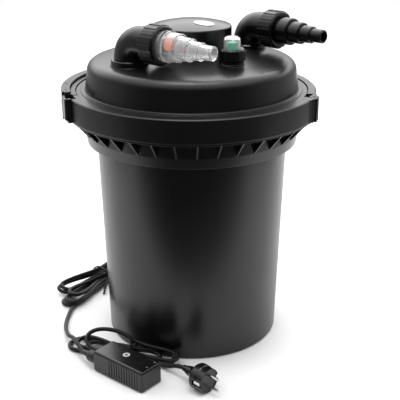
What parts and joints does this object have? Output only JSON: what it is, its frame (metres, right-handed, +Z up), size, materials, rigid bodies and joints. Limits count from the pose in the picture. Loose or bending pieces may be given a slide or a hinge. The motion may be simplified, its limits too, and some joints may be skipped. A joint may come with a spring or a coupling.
{
  "type": "pressurized pond filter",
  "caption": "Drum-shaped pressure pond filter with clamped domed lid, UV head, swivelling stepped hose tails, cleaning indicator, ballast box and mains lead.",
  "frame": {"origin": "centre of the drum's flat base, on the surface it stands on", "axes": "+Z up along the drum's axis, -Y the front with the cleaning indicator, +X towards the inlet side's hose tail"},
  "size_m": [0.4476, 0.4884, 0.5038],
  "materials": {
    "drum_plastic": "satin moulded black",
    "clamp_plastic": "satin moulded black",
    "fitting_plastic": "glossy black",
    "clear_plastic": "clear moulded acrylic",
    "quartz": "clear quartz",
    "seal_rubber": "soft black rubber",
    "orange_flap": "orange moulded flap",
    "green_float": "green moulded float",
    "white_window": "white translucent lens",
    "bright_metal": "bright plated",
    "steel": "stainless steel",
    "lamp_glass": "lamp tube glass",
    "lamp_base": "white lamp base",
    "media_plastic": "dark blue bio media",
    "coarse_foam": "open cell foam, blue",
    "fine_foam": "open cell foam, red",
    "cord_rubber": "satin black sheath",
    "box_plastic": "semi gloss black"
  },
  "bodies": {
    "root": {"drum": "drum_plastic", "drum_rim": "drum_plastic", "lid": "drum_plastic", "lid_seal": "seal_rubber", "clamp_rear_segment": "clamp_plastic", "clamp_hinge_pin": "clamp_plastic", "latch_lever_pin": "clamp_plastic", "inlet_base_collar": "fitting_plastic", "outlet_base_collar": "fitting_plastic", "indicator_base": "fitting_plastic", "indicator_dome": "clear_plastic", "indicator_spring": "steel", "uv_cap": "fitting_plastic", "uv_cap_bezel": "bright_metal", "uv_cap_window": "white_window", "uv_cap_gland": "seal_rubber", "uv_head_base": "drum_plastic", "uv_head_seal": "seal_rubber", "sleeve_nut": "fitting_plastic", "sleeve_seal": "seal_rubber", "quartz_sleeve": "quartz", "uv_lamp": "lamp_glass", "lamp_socket": "lamp_base", "inlet_downpipe": "drum_plastic", "media_grids": "fitting_plastic", "bio_balls": "media_plastic", "coarse_foam": "coarse_foam", "fine_foam": "fine_foam", "tie_rods": "steel", "ballast_box": "box_plastic", "ballast_end_cap": "box_plastic", "ballast_glands": "seal_rubber", "ballast_cover_screws": "steel", "ballast_badge": "white_window", "ballast_core": "steel", "lamp_cord_upper": "cord_rubber", "lamp_cord_hank": "cord_rubber", "lamp_cord_lower": "cord_rubber", "mains_cord_lead": "cord_rubber", "mains_cord_hank": "cord_rubber", "mains_cord_tail": "cord_rubber", "plug_body": "box_plastic", "plug_pins": "bright_metal", "cord_ties": "cord_rubber"},
    "clamp_front": {"clamp_front_segment": "clamp_plastic"},
    "latch_lever": {"latch_lever": "clamp_plastic", "latch_link_pin": "clamp_plastic"},
    "latch_link": {"latch_link": "clamp_plastic"},
    "outlet_elbow": {"outlet_elbow": "fitting_plastic", "outlet_tail_seal": "seal_rubber", "outlet_hose_tail": "clear_plastic", "flow_flap_pin": "steel"},
    "outlet_nut": {"outlet_union_nut": "fitting_plastic"},
    "flow_flap": {"flow_flap": "orange_flap"},
    "inlet_elbow": {"inlet_elbow": "fitting_plastic", "inlet_tail_seal": "seal_rubber", "inlet_hose_tail": "fitting_plastic"},
    "inlet_nut": {"inlet_union_nut": "fitting_plastic"},
    "indicator_nut": {"indicator_nut": "fitting_plastic"},
    "indicator_float": {"indicator_float": "green_float"}
  },
  "joints": [
    {"name": "latch_lever_swing", "type": "hinge", "parent": "root", "child": "latch_lever", "pos_m": [-0.18266, -0.04656, 0.377], "axis": [0, 0, 1], "range_deg": [0, 100]},
    {"name": "latch_link_swing", "type": "hinge", "parent": "latch_lever", "child": "latch_link", "pos_m": [-0.18595, -0.03379, 0.377], "axis": [0, 0, 1], "range_deg": [-90, 0]},
    {"name": "clamp_front_swing", "type": "hinge", "parent": "root", "child": "clamp_front", "pos_m": [0.17703, -0.06619, 0.377], "axis": [0, 0, 1], "range_deg": [0, 3]},
    {"name": "outlet_elbow_swivel", "type": "hinge", "parent": "root", "child": "outlet_elbow", "pos_m": [-0.088, -0.062, 0.4755], "axis": [0, 0, 1], "range_deg": [-150, 15]},
    {"name": "outlet_nut_turn", "type": "hinge", "parent": "outlet_elbow", "child": "outlet_nut", "pos_m": [-0.04802, -0.09525, 0.4755], "axis": [0.7688, -0.6394, 0], "continuous": true},
    {"name": "flow_flap_swing", "type": "hinge", "parent": "outlet_elbow", "child": "flow_flap", "pos_m": [-0.03111, -0.10932, 0.488], "axis": [-0.6394, -0.7688, 0], "range_deg": [0, 50]},
    {"name": "inlet_elbow_swivel", "type": "hinge", "parent": "root", "child": "inlet_elbow", "pos_m": [0.088, 0.062, 0.4755], "axis": [0, 0, 1], "range_deg": [-40, 100]},
    {"name": "inlet_nut_turn", "type": "hinge", "parent": "inlet_elbow", "child": "inlet_nut", "pos_m": [0.12502, 0.02549, 0.4755], "axis": [0.712, -0.7022, 0], "continuous": true},
    {"name": "indicator_nut_turn", "type": "hinge", "parent": "root", "child": "indicator_nut", "pos_m": [0.057, -0.072, 0.458], "axis": [0, 0, 1], "continuous": true},
    {"name": "indicator_float_rise", "type": "slide", "parent": "root", "child": "indicator_float", "axis": [0, 0, 1], "range_m": [0, 0.005], "stiffness_N_per_m": 40, "deforming": ["indicator_spring"]}
  ],
  "couplings": [
    {"joint": "latch_link_swing", "follows": "latch_lever_swing", "ratio": -0.83},
    {"joint": "clamp_front_swing", "follows": "latch_lever_swing", "ratio": 0.0235}
  ]
}
